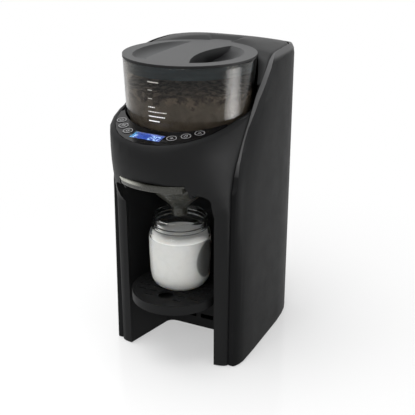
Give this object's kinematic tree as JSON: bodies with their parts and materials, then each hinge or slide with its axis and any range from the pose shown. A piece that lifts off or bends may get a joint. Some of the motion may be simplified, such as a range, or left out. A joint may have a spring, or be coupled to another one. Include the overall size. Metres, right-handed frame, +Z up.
{
  "type": "baby formula maker",
  "caption": "Countertop formula maker with powder container, lift-out water tank, key panel, mixing funnel, drip tray and a filled bottle.",
  "frame": {"origin": "centre of the overall footprint, on the plane that the feet stand on", "axes": "+Z up, -Y towards the user, +X to the user's right when facing the front"},
  "size_m": [0.1868, 0.2804, 0.3963],
  "materials": {
    "body_charcoal": "satin moulded plastic, fine grain",
    "shell_charcoal": "satin moulded plastic",
    "lid_grey": "satin mid-grey moulded plastic",
    "panel_gloss": "glossy black",
    "key_gloss": "glossy black with white outline",
    "window_clear": "clear flat window",
    "lcd_blue": "blue backlit display",
    "board_green": "circuit board",
    "container_smoke": "smoky transparent plastic",
    "seal_blue_grey": "soft blue-grey seal",
    "powder_beige": "loose dry powder",
    "white_plastic": "plain white moulded plastic",
    "steel": "plain steel",
    "brass": "turned brass",
    "funnel_smoke": "olive-grey translucent plastic",
    "bottle_clear": "clear baby bottle plastic",
    "milk_white": null,
    "tank_smoke": "smoky transparent plastic",
    "rubber_black": "matt black rubber",
    "hose_clear": "translucent silicone hose"
  },
  "bodies": {
    "machine": {"front_housing": "body_charcoal", "niche_liner": "body_charcoal", "well_floor": "body_charcoal", "side_shell": "shell_charcoal", "base_plate": "body_charcoal", "foot_front_left": "rubber_black", "foot_front_right": "rubber_black", "foot_rear_left": "rubber_black", "foot_rear_right": "rubber_black", "panel_fascia": "panel_gloss", "display_window": "window_clear", "lcd_module": "lcd_blue", "control_board": "board_green", "shaft_bushing": "brass", "powder_motor": "steel", "motor_plate": "steel", "tank_seat": "body_charcoal", "water_pump": "steel", "water_heater": "steel", "pump_hose": "hose_clear", "feed_hose": "hose_clear", "nozzle_hose": "hose_clear", "water_nozzle": "white_plastic", "power_board": "board_green", "power_inlet": "body_charcoal", "base_screw_1": "steel", "base_screw_2": "steel", "base_screw_3": "steel", "base_screw_4": "steel", "plate_screw_1": "steel", "plate_screw_2": "steel", "plate_screw_3": "steel"},
    "powder_container_body": {"powder_container": "container_smoke", "formula_powder": "powder_beige"},
    "container_lid_body": {"container_lid": "lid_grey", "lid_seal": "seal_blue_grey"},
    "stirrer": {"stirring_wheel": "white_plastic", "dosing_disc": "white_plastic"},
    "drive": {"drive_gear": "white_plastic", "drive_shaft": "steel"},
    "motor_drive": {"motor_pinion": "brass"},
    "funnel": {"mixing_funnel": "funnel_smoke"},
    "tray": {"drip_tray": "body_charcoal", "tray_grille": "body_charcoal"},
    "bottle_body": {"bottle": "bottle_clear", "milk": "milk_white"},
    "tank": {"water_tank": "tank_smoke", "lid_hinge_pin": "steel"},
    "tank_lid": {"water_tank_lid": "body_charcoal"},
    "valve": {"tank_valve": "white_plastic", "valve_spring": "steel"},
    "key_1": {"button_1": "key_gloss"},
    "key_2": {"button_2": "key_gloss"},
    "key_3": {"button_3": "key_gloss"},
    "key_4": {"button_4": "key_gloss"},
    "key_5": {"button_5": "key_gloss"},
    "key_6": {"button_6": "key_gloss"}
  },
  "joints": [
    {"name": "container_lift", "type": "slide", "parent": "machine", "child": "powder_container_body", "axis": [0, 0, 1], "range_m": [0, 0.12]},
    {"name": "container_lid_lift", "type": "slide", "parent": "powder_container_body", "child": "container_lid_body", "axis": [0, 0, 1], "range_m": [0, 0.06]},
    {"name": "stirrer_spin", "type": "hinge", "parent": "powder_container_body", "child": "stirrer", "pos_m": [0, -0.01825, 0.32], "axis": [0, 0, 1], "continuous": true},
    {"name": "gear_spin", "type": "hinge", "parent": "machine", "child": "drive", "pos_m": [0, -0.01825, 0.295], "axis": [0, 0, 1], "continuous": true},
    {"name": "pinion_spin", "type": "hinge", "parent": "machine", "child": "motor_drive", "pos_m": [0.012, 0.00253, 0.295], "axis": [0, 0, 1], "continuous": true},
    {"name": "funnel_slide", "type": "slide", "parent": "machine", "child": "funnel", "axis": [0, -1, 0], "range_m": [0, 0.13]},
    {"name": "tray_slide", "type": "slide", "parent": "machine", "child": "tray", "axis": [0, -1, 0], "range_m": [0, 0.1]},
    {"name": "bottle_lift_out", "type": "slide", "parent": "tray", "child": "bottle_body", "axis": [0, -1, 0], "range_m": [0, 0.1]},
    {"name": "tank_lift", "type": "slide", "parent": "machine", "child": "tank", "axis": [0, 0, 1], "range_m": [0, 0.17]},
    {"name": "tank_lid_hinge", "type": "hinge", "parent": "tank", "child": "tank_lid", "pos_m": [0, 0.11575, 0.384], "axis": [-1, 0, 0], "range_deg": [0, 65]},
    {"name": "valve_lift", "type": "slide", "parent": "tank", "child": "valve", "axis": [0, 0, 1], "range_m": [0, 0.003], "stiffness_N_per_m": 400, "springref_m": -0.0005},
    {"name": "key_1_press", "type": "slide", "parent": "machine", "child": "key_1", "axis": [0, 0.1736, -0.9848], "range_m": [0, 0.001], "stiffness_N_per_m": 900, "springref_m": -0.0004},
    {"name": "key_2_press", "type": "slide", "parent": "machine", "child": "key_2", "axis": [0, 0.1736, -0.9848], "range_m": [0, 0.001], "stiffness_N_per_m": 900, "springref_m": -0.0004},
    {"name": "key_3_press", "type": "slide", "parent": "machine", "child": "key_3", "axis": [0, 0.1736, -0.9848], "range_m": [0, 0.001], "stiffness_N_per_m": 900, "springref_m": -0.0004},
    {"name": "key_4_press", "type": "slide", "parent": "machine", "child": "key_4", "axis": [0, 0.1736, -0.9848], "range_m": [0, 0.001], "stiffness_N_per_m": 900, "springref_m": -0.0004},
    {"name": "key_5_press", "type": "slide", "parent": "machine", "child": "key_5", "axis": [0, 0.1736, -0.9848], "range_m": [0, 0.001], "stiffness_N_per_m": 900, "springref_m": -0.0004},
    {"name": "key_6_press", "type": "slide", "parent": "machine", "child": "key_6", "axis": [0, 0.1736, -0.9848], "range_m": [0, 0.001], "stiffness_N_per_m": 900, "springref_m": -0.0004}
  ],
  "couplings": [
    {"joint": "stirrer_spin", "follows": "gear_spin", "ratio": 1},
    {"joint": "pinion_spin", "follows": "gear_spin", "ratio": -3}
  ]
}
